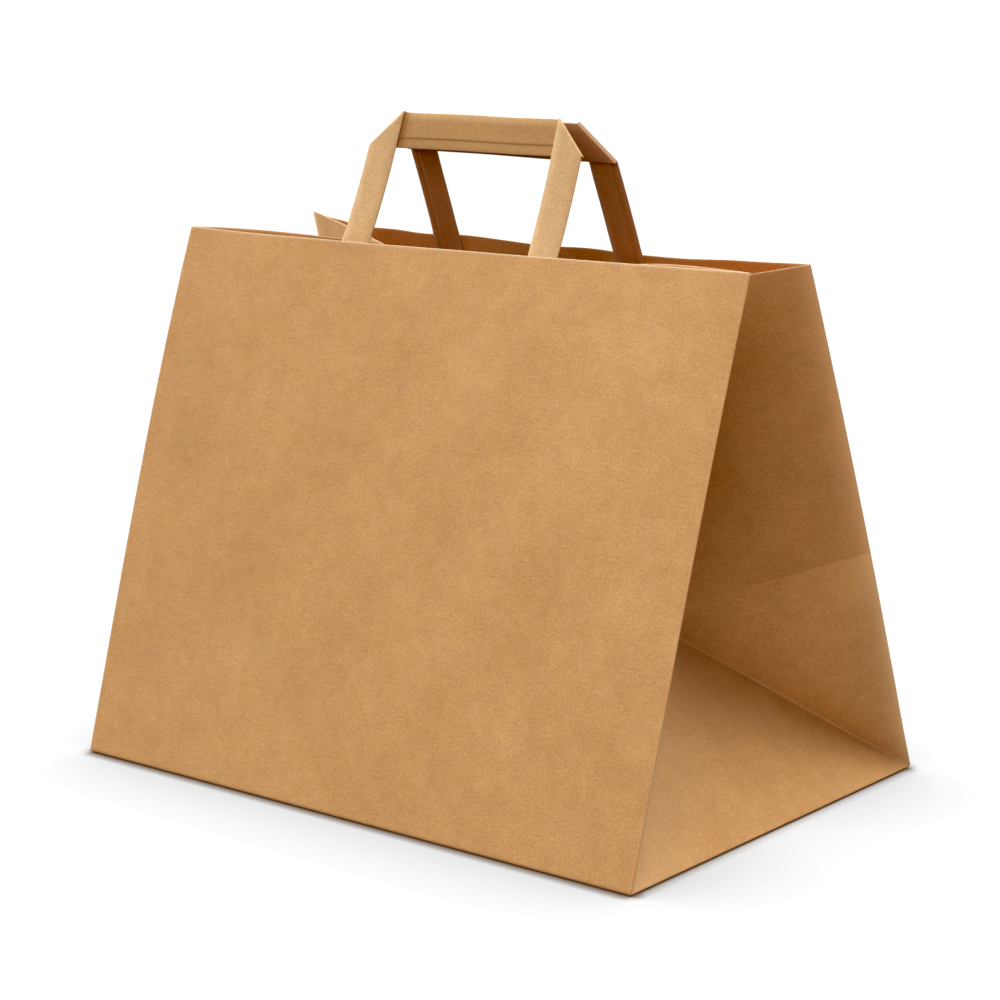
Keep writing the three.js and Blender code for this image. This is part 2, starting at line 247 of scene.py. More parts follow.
# The back half is held flat by its fold at the back edge and bows in behind it, less so at the rim.
# Under the crease it bulges out, so that the crease is a shallow valley.
gusset_sag, sag_fade, crease_sag, crease_reach = 2.4, 0.6, 2.0, 30.0
edge_hold, inner_hold = 7.0, 0.6
crease_bulge = {-1: 7.0, 1: 21.0}
low_sag, low_reach, low_hold = 4.4, 40.0, 20.0


def held_by_edge(u, width):
    from_inner_fold = math.sin(math.pi / 2 * min(1, u / inner_hold))
    return (1 - math.exp((u - 1) * width / edge_hold)) * from_inner_fold


# Every fold as a line from end to end, with how strongly it is creased.
fold_strength = {"front edge": 1.0, "slant": 0.9, "back edge": 0.8, "inner": 0.8,
                 "panel crease": 0.7, "gusset crease": 0.6, "bottom": 0.5}
front_edge_points, back_edge_points = 13, 8
crease_lines = [(left_edge[1], right_edge[1], fold_strength["panel crease"]),
                (left_edge[0], right_edge[0], fold_strength["bottom"]),
                (front_foot(-half_width), front_foot(half_width), fold_strength["bottom"])]
low_points, over_points = set(), set()
for side in (-1, 1):
    turned = side < 0
    front_bottom, front_top = front_foot(side * half_width), front_rim(side * half_width)
    back_bottom, back_crease, back_top = back_edge(side)
    apex, tip = gusset_apex(side), fold_tip(side)

    # Flat places on the blank run outwards from the front panel's edge.
    def flat_at(across, h):
        return at(side * (half_width + across), h, 0)

    blank = {
        "fb": flat_at(0, 0), "ft": flat_at(0, panel_height), "bb": flat_at(bag_depth, 0),
        "bc": flat_at(bag_depth, crease_height), "bt": flat_at(bag_depth, panel_height),
        "apex": flat_at(half_depth, crease_height), "tip": flat_at(half_depth, panel_height),
    }

    def flat_of(a, b, c, d):
        return lambda u, v: tuple(corners_blend(blank[a], blank[b], blank[c], blank[d], u, v)[:2])

    # The low triangle between the bottom edge and the two slanting folds sinks in a little.
    low_out = unit(np.cross(back_bottom - front_bottom, apex - front_bottom)) * side

    def low_triangle(u, v):
        width = bag_depth * (1 - v)
        free = (1 - math.exp(-u * width / low_reach)) * (1 - math.exp((u - 1) * width / low_hold))
        sunk = low_out * low_sag * 4 * v * (1 - v) * free
        return corners_blend(front_bottom, back_bottom, apex, apex, u, v) - sunk

    first_low = len(sheet_faces)
    fold_face(deep_shares, slant_shares, turned, low_triangle, flat_of("fb", "bb", "apex", "apex"))
    low_points.update(number for face in sheet_faces[first_low:] for number in face)

    back_out = unit(np.cross(back_top - apex, tip - apex)) * side
    from_rim, to_tip = front_top + gusset_rim_reach[side][0], tip + gusset_rim_reach[side][1]

    def front_half(u, v):
        w = 1 - u
        near_rim, near_tip = from_rim * 3 * w * w * u, to_tip * 3 * w * u * u
        curve = front_top * w ** 3 + near_rim + near_tip + tip * u ** 3
        bulge = (curve - between(front_top, tip, u)) * v ** 2
        on_edge = front_point(side * half_width, panel_height * v)
        edge = on_edge - between(front_bottom, front_top, v)
        return corners_blend(front_bottom, apex, front_top, tip, u, v) + bulge + edge * w ** 2

    def back_low(u, v):
        sag = (gusset_sag + crease_sag) * v - crease_bulge[side] * v * (1 - v ** 3)
        bowed = back_out * sag * held_by_edge(u, half_depth * v)
        return between(back_bottom, between(apex, back_crease, u), v) - bowed

    def back_high(u, v):
        near_crease = math.exp(-v * top_length / crease_reach)
        sag = gusset_sag * (1 - sag_fade * v) + crease_sag * near_crease
        bowed = back_out * sag * held_by_edge(u, half_depth)
        on_edge = back_point(side * half_width, crease_height + top_length * v)
        edge = on_edge - between(back_crease, back_top, v)
        return corners_blend(apex, back_crease, tip, back_top, u, v) - bowed + edge * u ** 2

    fold_face(slant_shares, up_shares, turned, front_half, flat_of("fb", "apex", "ft", "tip"))
    first_over = len(sheet_faces)
    fold_face(slant_shares, slant_shares, turned, back_low, flat_of("bb", "bb", "apex", "bc"))
    over_points.update(number for face in sheet_faces[first_over:] for number in face)
    fold_face(slant_shares, up_shares, turned, back_high, flat_of("apex", "bc", "tip", "bt"))
    crease_lines += [
        (front_bottom, apex, fold_strength["slant"]), (back_bottom, apex, fold_strength["slant"]),
        (apex, tip, fold_strength["inner"]), (apex, back_crease, fold_strength["gusset crease"]),
        (back_bottom, back_crease, fold_strength["back edge"]),
        (front_bottom, back_bottom, fold_strength["bottom"]),
    ]
    front_heights = np.linspace(0, panel_height, front_edge_points)
    front_line = [front_point(side * half_width, h) for h in front_heights]
    back_heights = np.linspace(crease_height, panel_height, back_edge_points)
    back_line = [back_point(side * half_width, h) for h in back_heights]
    for line, strength in ((front_line, fold_strength["front edge"]),
                           (back_line, fold_strength["back edge"])):
        crease_lines += [(a, b, strength) for a, b in zip(line, line[1:])]

# Folds are rounded by easing the points next to them, and marked for the pale line that creasing
# leaves.
fold_line, ease_reach, ease_most, ease_rounds = 0.5, 1.0, 0.5, 2
sheet = np.array(sheet_points)


def from_line(a, b):
    share = np.clip((sheet - a) @ (b - a) / ((b - a) @ (b - a)), 0, 1)
    return np.linalg.norm(sheet - (a + share[:, None] * (b - a)), axis=1)


to_fold = np.full(len(sheet), np.inf)
fold_mark = np.zeros(len(sheet))
for a, b, strength in crease_lines:
    distance = from_line(a, b)
    to_fold = np.minimum(to_fold, distance)
    fold_mark = np.maximum(fold_mark, strength * np.exp(-(distance / fold_line) ** 2))
pairs = {tuple(sorted((f[k - 1], f[k]))) for f in sheet_faces for k in range(len(f))}
pairs = np.array(sorted(pairs))
ease = np.clip(ease_reach - to_fold, 0, ease_most)[:, None]
for _ in range(ease_rounds):
    total, count = np.zeros_like(sheet), np.zeros((len(sheet), 1))
    for p, q in ((0, 1), (1, 0)):
        np.add.at(total, pairs[:, p], sheet[pairs[:, q]])
        np.add.at(count, pairs[:, p], 1)
    sheet = between(sheet, total / count, ease)

# The paper is paler over some millimetres beside the back edges.
rub_reach = 5.0
rub_mark = np.zeros(len(sheet))
for bottom, crease, top in (left_edge, right_edge):
    rub_mark += np.exp(-np.minimum(from_line(bottom, crease), from_line(crease, top)) / rub_reach)

# On the low triangles of the sides a painted highlight lies beside the front fold and painted shade
# lies beside the back one, and painted shade lies over the foot of the back one too.
pale_share, pale_reach, dark_share, dark_reach, dark_growth = 0.33, 25.0, 0.5, 8.0, 0.75
over_share, over_reach, over_height = 0.36, 9.0, 34.0
on_low, over_low = np.zeros(len(sheet)), np.zeros(len(sheet))
on_low[sorted(low_points)] = 1.0
over_low[sorted(over_points - low_points)] = 1.0
valley_shade_mark = np.zeros(len(sheet))
for side, edge in ((-1, left_edge), (1, right_edge)):
    pale = from_line(front_foot(side * half_width), gusset_apex(side)) / pale_reach
    rub_mark += on_low * pale_share * np.exp(-pale ** 2)
    to_back = from_line(edge[0], gusset_apex(side))
    dark = to_back / (dark_reach + dark_growth * sheet[:, 2])
    valley_shade_mark += on_low * dark_share * np.exp(-dark ** 2)
    over = (to_back / over_reach) ** 2 + (sheet[:, 2] / over_height) ** 2
    valley_shade_mark += over_low * over_share * np.exp(-over)

# The bottom edges roll under instead of ending sharp: each edge, and the way its paper moves.
foot_roll, roll_share = 1.4, 0.25
front_slope = unit(front_rim(0) - front_foot(0))
back_slope = unit(back_point(0, crease_height) - back_point(0, 0))
foot_edges = [(front_foot(-half_width), front_foot(half_width), front_slope + at(0, 1, 0)),
              (left_edge[0], right_edge[0], back_slope - at(0, 1, 0))]
for side in (-1, 1):
    a, b = front_foot(side * half_width), back_edge(side)[0]
    foot_edges.append((a, b, unit(gusset_apex(side) - (a + b) / 2) - at(side, 0, 0)))
roll = sum(np.outer(np.clip(1 - from_line(a, b) / foot_roll, 0, 1) ** 2, inwards)
           for a, b, inwards in foot_edges)
sheet = sheet + roll * foot_roll * roll_share


# A mesh from points in millimetres, with an optional UV on the flat blank and point attributes.
def paper_mesh(name, points, faces, uvs=None, **marks):
    mesh = bpy.data.meshes.new(name)
    mesh.from_pydata([tuple(p * MM) for p in points], [], faces)
    if uvs is not None:
        layer = mesh.uv_layers.new(name="blank")
        layer.data.foreach_set("uv", [c * MM for face in uvs for uv in face for c in uv])
    for key, values in marks.items():
        mark = mesh.attributes.new(key, "FLOAT", "POINT")
        mark.data.foreach_set("value", np.asarray(values, np.float32))
    mesh.validate()
    return mesh


# Kraft paper: cloudy formation, short fibres along the sheet, a few dark specks, paler beside the
# back edges and where it is folded or cut, a painted highlight on the low triangles, painted shade
# in the valleys of the sides, and painted shade where a lap's edge stands over it.
cloud_gain, grain_gain, fibre_gain, speck_gain, speck_level = 0.6, 0.64, 0.14, -0.10, 0.76
# Paler paper for the back edges and the painted highlight, and dark brown for the painted shade in
# the valleys.
rubbed_paper, valley_shade_paper = (0.93, 0.60, 0.31, 1.0), (0.25, 0.09, 0.02, 1.0)
creased_paper, crease_share = (0.80, 0.56, 0.32, 1.0), 0.45
shaded_paper, shade_share = (0.16, 0.07, 0.02, 1.0), 0.35
cut_paper, cut_share = (0.86, 0.66, 0.42, 1.0), 0.6
rough_gain, rough_base = 0.2, 0.72


def kraft(name, colour, inside_colour, fibre_turn=0.0):
    material = bpy.data.materials.new(name)
    material.use_nodes = True
    tree = material.node_tree
    nodes, links = tree.nodes, tree.links
    shader = nodes["Principled BSDF"]
    shader.inputs["Specular IOR Level"].default_value = 0.22

    def node(kind, **values):
        made = nodes.new(kind)
        for key, value in values.items():
            if isinstance(value, (int, float, tuple)) and key[0].isupper():
                made.inputs[key.replace("_", " ")].default_value = value
            else:
                setattr(made, key, value)
        return made

    def math_node(operation, a, b=None, c=None):
        made = nodes.new("ShaderNodeMath")
        made.operation = operation
        for slot, value in enumerate((a, b, c)):
            if value is None:
                continue
            if isinstance(value, (int, float)):
                made.inputs[slot].default_value = value
            else:
                links.new(value, made.inputs[slot])
        return made.outputs[0]

    blank = node("ShaderNodeUVMap", uv_map="blank").outputs["UV"]

    def noise(scale, detail, roughness, stretch=(1.0, 1.0, 1.0), shift=(0.0, 0.0, 0.0)):
        mapped = node("ShaderNodeMapping")
        mapped.inputs["Scale"].default_value = stretch
        mapped.inputs["Location"].default_value = shift
        mapped.inputs["Rotation"].default_value = (0.0, 0.0, fibre_turn)
        links.new(blank, mapped.inputs["Vector"])
        made = node("ShaderNodeTexNoise", Scale=scale, Detail=detail, Roughness=roughness)
        links.new(mapped.outputs["Vector"], made.inputs["Vector"])
        return made.outputs["Fac"]

    clouds = noise(scale=14.0, detail=4.0, roughness=1.0)
    grain = noise(scale=820.0, detail=1.0, roughness=1.0, shift=(9.2, 1.3, 0.0))
    fibres = noise(scale=420.0, detail=2.0, roughness=0.6,
                   stretch=(0.45, 2.4, 1.0), shift=(5.5, 2.4, 0.0))
    specks = noise(scale=520.0, detail=1.0, roughness=0.5,
                   stretch=(0.7, 1.6, 1.0), shift=(1.7, 4.9, 0.0))
    warmth = noise(scale=70.0, detail=2.0, roughness=0.6, shift=(2.2, 6.1, 0.0))

    tone = math_node("MULTIPLY_ADD", clouds, cloud_gain, -cloud_gain / 2)
    for pattern, amount in ((grain, grain_gain), (fibres, fibre_gain)):
        tone = math_node("ADD", tone, math_node("MULTIPLY_ADD", pattern, amount, -amount / 2))
    dark = math_node("MULTIPLY", math_node("GREATER_THAN", specks, speck_level), speck_gain)
    tone = math_node("ADD", tone, dark)

    inside, fold, cut, rub, valley, ply = (
        node("ShaderNodeAttribute", attribute_name=name).outputs["Fac"]
        for name in ("inside", "fold", "cut", "rub", "valley", "ply"))

    def mix(factor, a, b, blend="MIX"):
        made = node("ShaderNodeMix", data_type="RGBA", blend_type=blend)
        for slot, value in ((0, factor), (6, a), (7, b)):
            if isinstance(value, (int, float, tuple)):
                made.inputs[slot].default_value = value
            else:
                links.new(value, made.inputs[slot])
        return made.outputs[2]

    base = mix(inside, (*colour, 1.0), (*inside_colour, 1.0))
    gain = node("ShaderNodeCombineColor")
    for channel, share, hue in (("Red", 0.8, 0.10), ("Green", 1.0, 0.0), ("Blue", 1.25, -0.16)):
        shade = math_node("MULTIPLY_ADD", warmth, hue, 1.0 - hue / 2)
        links.new(math_node("MULTIPLY_ADD", tone, share, shade), gain.inputs[channel])
    toned = mix(1.0, base, gain.outputs["Color"], "MULTIPLY")
    # Paler beside the back edges, and a painted highlight on the low triangles beside their front
    # folds.
    rubbed = mix(rub, toned, rubbed_paper)
    # Painted shade beside the back folds of the sides and over their feet.
    sunk = mix(valley, rubbed, valley_shade_paper)
    creased = mix(math_node("MULTIPLY", fold, crease_share), sunk, creased_paper)
    shaded = mix(math_node("MULTIPLY", ply, shade_share), creased, shaded_paper)
    edged = mix(math_node("MULTIPLY", cut, cut_share), shaded, cut_paper)
    links.new(edged, shader.inputs["Base Color"])
    rough = math_node("MULTIPLY_ADD", grain, rough_gain, rough_base)
    links.new(rough, shader.inputs["Roughness"])

    bump = node("ShaderNodeBump", Strength=0.35, Distance=0.00012)
    links.new(math_node("ADD", grain, fibres), bump.inputs["Height"])
    links.new(bump.outputs["Normal"], shader.inputs["Normal"])
    return material


# Thickness for any laid or folded sheet: the inner face, an outer face a paper's thickness away,
# and the cut edge between them.
def thickness_tree():
    tree = bpy.data.node_groups.new("paper_thickness", "GeometryNodeTree")
    tree.is_modifier = True
    face = tree.interface
    face.new_socket("Sheet", in_out="INPUT", socket_type="NodeSocketGeometry")
    face.new_socket("Thickness", in_out="INPUT", socket_type="NodeSocketFloat")
    face.new_socket("Paper", in_out="INPUT", socket_type="NodeSocketMaterial")
    face.new_socket("Solid", in_out="OUTPUT", socket_type="NodeSocketGeometry")
    nodes, links = tree.nodes, tree.links
    source, result = nodes.new("NodeGroupInput"), nodes.new("NodeGroupOutput")

    half_down = nodes.new("ShaderNodeMath")
    half_down.operation = "MULTIPLY"
    half_down.inputs[1].default_value = -0.5
    links.new(source.outputs["Thickness"], half_down.inputs[0])
    normal = nodes.new("GeometryNodeInputNormal")
    step = nodes.new("ShaderNodeVectorMath")
    step.operation = "SCALE"
    links.new(normal.outputs["Normal"], step.inputs[0])
    links.new(half_down.outputs[0], step.inputs["Scale"])
    inner = nodes.new("GeometryNodeSetPosition")
    links.new(source.outputs["Sheet"], inner.inputs["Geometry"])
    links.new(step.outputs["Vector"], inner.inputs["Offset"])

    outer = nodes.new("GeometryNodeExtrudeMesh")
    outer.mode = "FACES"
    outer.inputs["Individual"].default_value = False
    links.new(inner.outputs["Geometry"], outer.inputs["Mesh"])
    links.new(source.outputs["Thickness"], outer.inputs["Offset Scale"])
    flipped = nodes.new("GeometryNodeFlipFaces")
    links.new(inner.outputs["Geometry"], flipped.inputs["Mesh"])
    marked = nodes.new("GeometryNodeStoreNamedAttribute")
    marked.data_type, marked.domain = "FLOAT", "POINT"
    marked.inputs["Name"].default_value = "inside"
    marked.inputs["Value"].default_value = 1.0
    links.new(flipped.outputs["Mesh"], marked.inputs["Geometry"])

    joined = nodes.new("GeometryNodeJoinGeometry")
    links.new(marked.outputs["Geometry"], joined.inputs["Geometry"])
    links.new(outer.outputs["Mesh"], joined.inputs["Geometry"])
    merged = nodes.new("GeometryNodeMergeByDistance")
    merged.inputs["Distance"].default_value = 1e-6
    links.new(joined.outputs["Geometry"], merged.inputs["Geometry"])
    smooth = nodes.new("GeometryNodeSetShadeSmooth")
    links.new(merged.outputs["Geometry"], smooth.inputs["Geometry"])
    realized = nodes.new("GeometryNodeRealizeInstances")
    links.new(smooth.outputs["Geometry"], realized.inputs["Geometry"])
    painted = nodes.new("GeometryNodeSetMaterial")
    links.new(realized.outputs["Geometry"], painted.inputs["Geometry"])
    links.new(source.outputs["Paper"], painted.inputs["Material"])
    links.new(painted.outputs["Geometry"], result.inputs["Solid"])
    return tree


paper_tree = thickness_tree()


# A plain mesh of a sheet with its thickness.
def thickened(mesh, thickness, material):
    carrier = bpy.data.objects.new("carrier", mesh)
    bpy.context.scene.collection.objects.link(carrier)
    modifier = carrier.modifiers.new("thickness", "NODES")
    modifier.node_group = paper_tree
    sockets = {s.name: s.identifier for s in paper_tree.interface.items_tree if s.in_out == "INPUT"}
    modifier[sockets["Thickness"]] = thickness * MM
    modifier[sockets["Paper"]] = material
    evaluated = carrier.evaluated_get(bpy.context.evaluated_depsgraph_get())
    made = bpy.data.meshes.new_from_object(evaluated)
    bpy.data.objects.remove(carrier)
    return made


# One object from several plain meshes.
def piece_of(name, meshes):
    holders = []
    for mesh in meshes:
        holder = bpy.data.objects.new(name, mesh)
        bpy.context.scene.collection.objects.link(holder)
        holders.append(holder)
    if len(holders) > 1:
        with bpy.context.temp_override(active_object=holders[0], selected_editable_objects=holders):
            bpy.ops.object.join()
    holders[0].name = name
    holders[0].data.name = name
    return holders[0]


# The inside colour is deeper and browner than the outside colour. It is painted shade for the dim
# light inside the bag.
kraft_colour, kraft_inside = (0.60, 0.317, 0.130), (0.60, 0.262, 0.095)
kraft_sheet = kraft("kraft_sheet", kraft_colour, kraft_inside)
rim_line = 0.9
rim_height = np.zeros(len(sheet))
for f, uv in zip(sheet_faces, sheet_uvs):
    for number, (u, h) in zip(f, uv):
        rim_height[number] = max(rim_height[number], h)
rim_mark = np.clip(1 - (panel_height - rim_height) / rim_line, 0, 1)
body_mesh = paper_mesh("bag_sheet", sheet, sheet_faces, sheet_uvs,
                       fold=fold_mark, cut=rim_mark, rub=rub_mark, valley=valley_shade_mark)
body_parts = [thickened(body_mesh, paper_thickness, kraft_sheet)]


# A small sheet laid on another, from a grid of places, with its own flat UV and cut edges.
def laid_sheet(name, columns, rows, turned, place, flat):
    points, uvs, faces, marks = [], [], [], []
    for j, r in enumerate(rows):
        for i, c in enumerate(columns):
            points.append(place(c, r))
            on_edge = i in (0, len(columns) - 1) or j in (0, len(rows) - 1)
            marks.append(1.0 if on_edge else 0.0)
    for j in range(len(rows) - 1):
        for i in range(len(columns) - 1):
            cells = [(i, j), (i + 1, j), (i + 1, j + 1), (i, j + 1)]
            if turned:
                cells.reverse()
            faces.append([b * len(columns) + a for a, b in cells])
            uvs.append([flat(columns[a], rows[b]) for a, b in cells])
    return paper_mesh(name, points, faces, uvs, fold=np.zeros(len(points)), cut=marks)


# A place so deep inside a panel, measured from the middle of its paper, at a height above its rim.
def inside_panel(panel, inwards, x, height, depth):
    h, step = panel_height + height, 0.5
    across = panel(x + step, h) - panel(x - step, h)
    up = panel(x, h) - panel(x, h - step)
    return panel(x, h) + unit(np.cross(up, across)) * inwards * depth


# The glued lap of the tube's seam stands out of the back panel by one thickness of paper.
cut_strip, lap_foot, lap_below_rim = 0.4, 1.6, 0.5
lap_columns = [seam_left, seam_left + cut_strip, (seam_left + seam_right) / 2,
               seam_right - cut_strip, seam_right]
lap_rows = [lap_foot, *(crease_height * slant_shares[4:]),
            *(crease_height + top_length * up_shares[1:-2]), panel_height - lap_below_rim]
lap_mesh = laid_sheet(
    "seam_lap", lap_columns, lap_rows, True,
    lambda x, h: inside_panel(back_point, -1, x, h - panel_height, -paper_thickness),
    lambda x, h: (bag_width + bag_depth - x + seam_width / 2, h))
body_parts.append(thickened(lap_mesh, paper_thickness, kraft_sheet))

# The bottom flaps fold in from the long edges with slanting ends, and the back one laps the front
# one from below and rises to the same level past the lap.
bottom_lap, lap_clear, lap_slope = 24.0, 2.0, 6.0
flap_inset, flap_thickness, flap_pitch, flap_columns = 2.0, 0.24, 9.0, 41
upper_level, lower_level = 1.5 * paper_thickness, 0.5 * paper_thickness
for name, fold_y, free_y, level in (
        ("front_flap", flap_inset - half_depth, bottom_lap / 2, upper_level),
        ("back_flap", half_depth - flap_inset, -bottom_lap / 2, lower_level)):
    reach = abs(free_y - fold_y)

    def flap_place(u, v):
        half = half_width - flap_inset - reach * v
        past_lap = min(1, max(0, (1 - v) * reach - bottom_lap - lap_clear) / lap_slope)
        return at(half * u, between(fold_y, free_y, v), between(level, upper_level, past_lap))

    flap_mesh = laid_sheet(name, np.linspace(-1, 1, flap_columns), fold_shares(reach, flap_pitch),
                           fold_y < 0, flap_place, lambda u, v: (half_width * u, -v * reach))
    body_parts.append(thickened(flap_mesh, flap_thickness, kraft_sheet))

bag_body = piece_of("kraft_bag", body_parts)
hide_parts("bag_body")
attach(bag_body, "root")

# Handles
# Each is one flat strip of kraft paper folded to several plies, with its lap along one face. It
# rises from inside the rim, turns over at a slanting fold on each side, and runs across behind the
# legs as the grip.
strip_width, strip_thickness, strip_ply, strip_lap_in = 16.5, 0.9, 0.22, 4.5
fold_gap, edge_round, strip_wear, inner_from = 0.7, 0.35, 0.8, 0.5
leg_spacing, leg_converge = 109.4, math.radians(1.25)
grip_rise, grip_middle, grip_gap = 55.0, -1.0, 10.4
handle_shift = {"front": -2.9, "back": 2.4}
# As they stand, the grips lie a little off the middle of their ends, slope a little, and the back
# one is lower.
grip_sway = {"front": 0.3, "back": -2.0}
grip_slope = {"front": 0.008, "back": -0.006}
grip_drop = {"front": -0.4, "back": 0.6}
# Towards its grip a strip stands up straighter than its legs, and the back strip's legs bow a
# little and its grip lies a little open.
straighten, usual_lean = {"front": 4.6, "back": 2.0}, math.radians(30)
leg_bow = {"front": 0.0, "back": 0.5}
grip_open = {"front": 1.0, "back": 1.1}
fold_bulge, fold_turns = 0.15, 10
dip_depth, dip_waves, dip_phase, grip_columns = 0.12, 3.3, 0.6, 22
tail_length, rim_bend = 38.0, 8.0
glue_gap = 0.3
leg_x = leg_spacing / 2
tail_depth = paper_thickness / 2 + glue_gap
leg_heights = [-tail_length, -30, -22, -14, -8, -4, -2, 0, 2, 4, 6, 8, 13, 19, 25, 31, 36]
# Lengths on the flat strip: a step of the slanting fold, that fold, the grip, the whole strip, and
# how far beside the outer face the inner one lies.
turn_flat, fold_flat, grip_flat, strip_flat, inner_flat = 0.4, 5.0, 100.0, 230.0, 40.0


# A share that starts and ends gently.
def eased(t):
    t = min(1, max(0, t))
    return t * t * (3 - 2 * t)


# The panel under a handle, with x measured in true length from the handle's own middle.
def handle_panel(which):
    panel, shift = front_point if which == "front" else back_point, handle_shift[which]
    span = np.linalg.norm(panel(shift - leg_x, panel_height) - panel(shift + leg_x, panel_height))
    return lambda x, h: panel(shift + x * leg_spacing / span, h)


def handle_mesh(which):
    panel, inwards = handle_panel(which), 1 if which == "front" else -1
    left, right = panel(-leg_x, panel_height), panel(leg_x, panel_height)
    origin = (left + right) / 2
    x_axis = unit(right - left)
    level = unit(np.cross(at(0, 0, 1), x_axis)) * inwards
    top, inner = grip_rise + strip_width / 2, tail_depth + 2 * strip_thickness + fold_gap
    standing = straighten[which] * math.cos(usual_lean)
    target = inwards * (grip_middle - origin[1]) - grip_gap / 2 + standing
    lean = math.asin(target / math.hypot(top, inner)) - math.atan2(inner, top)
    upright = unit(np.cross(x_axis, level)) * inwards
    up_axis = level * math.sin(lean) + upright * math.cos(lean)
    in_axis = level * math.cos(lean) - upright * math.sin(lean)

    def free(x, height, depth):
        share = height / grip_rise
        sideways = x + grip_sway[which] * share
        lift = height - (grip_drop[which] + grip_slope[which] * x) * share
        straight = straighten[which] * (max(height, 0) / top) ** 2
        return origin + x_axis * sideways + up_axis * lift + in_axis * (depth - straight)

    def glued(x, height, depth):
        return inside_panel(panel, inwards, x, height, depth)

    fold_angle = (math.pi / 2 - leg_converge) / 2
    half_fold = strip_width / 2 / math.tan(fold_angle)
    half_across = strip_width / 2 / math.cos(leg_converge)
    fold_depth = tail_depth + strip_thickness + fold_gap / 2
    bend_to = grip_rise - strip_width / 2

    def leg_at(height):
        return leg_x - height * math.tan(leg_converge)

    def leg_row(side, height):
        def row(share, deep):
            x = side * (leg_at(height) + half_across * (1 - 2 * share))
            if height <= -rim_bend / 2:
                return glued(x, height, tail_depth + deep)
            curve = leg_bow[which] * math.sin(math.pi * max(0, height) / bend_to)
            placed = free(x, height, tail_depth + deep - curve)
            if height >= rim_bend:
                return placed
            freed = eased((height + rim_bend / 2) / (1.5 * rim_bend))
            return between(glued(x, height, tail_depth + deep), placed, freed)
        return row

    def fold_row(side, turn):
        def row(share, deep):
            x = side * (leg_at(grip_rise) + half_fold * (1 - 2 * share))
            height = grip_rise + strip_width * grip_open[which] * (share - 0.5)
            radius = strip_thickness + fold_gap / 2 - deep
            placed = free(x, height, fold_depth - radius * math.cos(turn))
            out = fold_bulge * radius * math.sin(turn)
            sideways, upwards = side * out * math.sin(fold_angle), out * math.cos(fold_angle)
            return placed + x_axis * sideways + up_axis * upwards
        return row

    # Rows along the strip: glued tail, leg, slanting fold, grip, and the same down the other side.
    # Each has its points, how far it is folded over, and its place on the flat strip.
    def half_strip(side):
        rows = [(leg_row(side, h), 0.0, h) for h in leg_heights]
        leg_end, first = rows[-1][0], fold_row(side, 0.0)
        for share in (0.35, 0.7, 0.92):
            rows.append((
                lambda s, d, share=share: between(leg_end(s, d), first(s, d), share),
                0.0, between(leg_heights[-1], grip_rise - 1, share)))
        for k in range(fold_turns + 1):
            turn = math.pi * k / fold_turns
            rows.append((fold_row(side, turn), math.sin(turn) ** 2, grip_rise + k * turn_flat))
        return rows

    left_rows, right_rows = half_strip(-1), half_strip(1)
    grip_rows = []
    start, end = left_rows[-1][0], right_rows[-1][0]
    for share in np.linspace(0, 1, grip_columns)[1:-1]:
        dip = up_axis * dip_depth * math.sin(dip_waves * math.pi * share + dip_phase)
        grip_rows.append((
            lambda s, d, share=share, dip=dip: between(start(s, d), end(s, d), share) - dip,
            0.0, grip_rise + fold_flat + share * grip_flat))
    rows = left_rows + grip_rows + [(r, m, strip_flat - v) for r, m, v in reversed(right_rows)]

    # The section runs round the strip: plain outer face, rounded folded edges, and the lap's step
    # inside, as (share across, depth, wear), where wear below nothing is the shade of the lap.
    thick, thin = strip_thickness, strip_thickness - strip_ply
    lap, edge = strip_lap_in / strip_width, edge_round / strip_width
    section = [(edge, 0.0, 0.3), (0.25, 0.0, 0), (0.5, 0.0, 0), (0.75, 0.0, 0),
               (1 - edge, 0.0, 0.3), (1.0, thick * 0.3, 0.6), (1.0, thick * 0.7, 0.6),
               (1 - edge, thick, 0.3), (0.75, thick, 0), (0.5, thick, 0),
               (lap + 0.06, thick, 0), (lap + 0.012, thick, 0.1),
               (lap, thin, -1.0), (lap - 0.03, thin, -0.25), (lap / 2, thin, 0),
               (edge, thin, 0.3), (0.0, thin * 0.7, 0.6), (0.0, thin * 0.3, 0.6)]
    points, fold, uv_rows = [], [], []
    for row, mark, along in rows:
        for share, deep, worn in section:
            points.append(row(share, deep))
            fold.append(max(mark, worn, 0) * strip_wear)
            beside = inner_flat if deep > inner_from else 0
            uv_rows.append((share * strip_width + beside, along))
    inner = [1.0 if deep >= thin else 0.0 for _ in rows for _, deep, _ in section]
    ply = [max(0, -worn) for _ in rows for _, _, worn in section]
    n = len(section)
    faces, uvs = [], []
    for j in range(len(rows) - 1):
        for i in range(n):
            cells = [(j, i), (j, (i + 1) % n), (j + 1, (i + 1) % n), (j + 1, i)]
            if inwards < 0:
                cells.reverse()
            faces.append([b * n + a for b, a in cells])
            uvs.append([uv_rows[b * n + a] for b, a in cells])
    for j, order in ((0, -1), (len(rows) - 1, 1)):
        cap = [j * n + i for i in range(n)][::order * inwards]
        faces.append(cap)
        uvs.append([uv_rows[k] for k in cap])
    cut = [1.0 if k < n or k >= n * (len(rows) - 1) else 0.0 for k in range(len(points))]
    return paper_mesh(which + "_strip", points, faces, uvs,
                      fold=fold, cut=cut, ply=ply, inside=inner)


# Painted shade: both faces of the back strip are a darker brown than the front strip's paper.
strip_colours = {"front": ((0.62, 0.372, 0.175), (0.47, 0.252, 0.099)),
                 "back": ((0.36, 0.155, 0.070), (0.42, 0.18, 0.075))}
along_strip = math.radians(90)
for which in ("front", "back"):
    mesh = handle_mesh(which)
    mesh.materials.append(kraft("kraft_strip_" + which, *strip_colours[which], along_strip))
    mesh.polygons.foreach_set("use_smooth", [True] * len(mesh.polygons))
    handle = piece_of(which + "_strip_handle", [mesh])
    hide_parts(which + "_handle")
    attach(handle, "root")

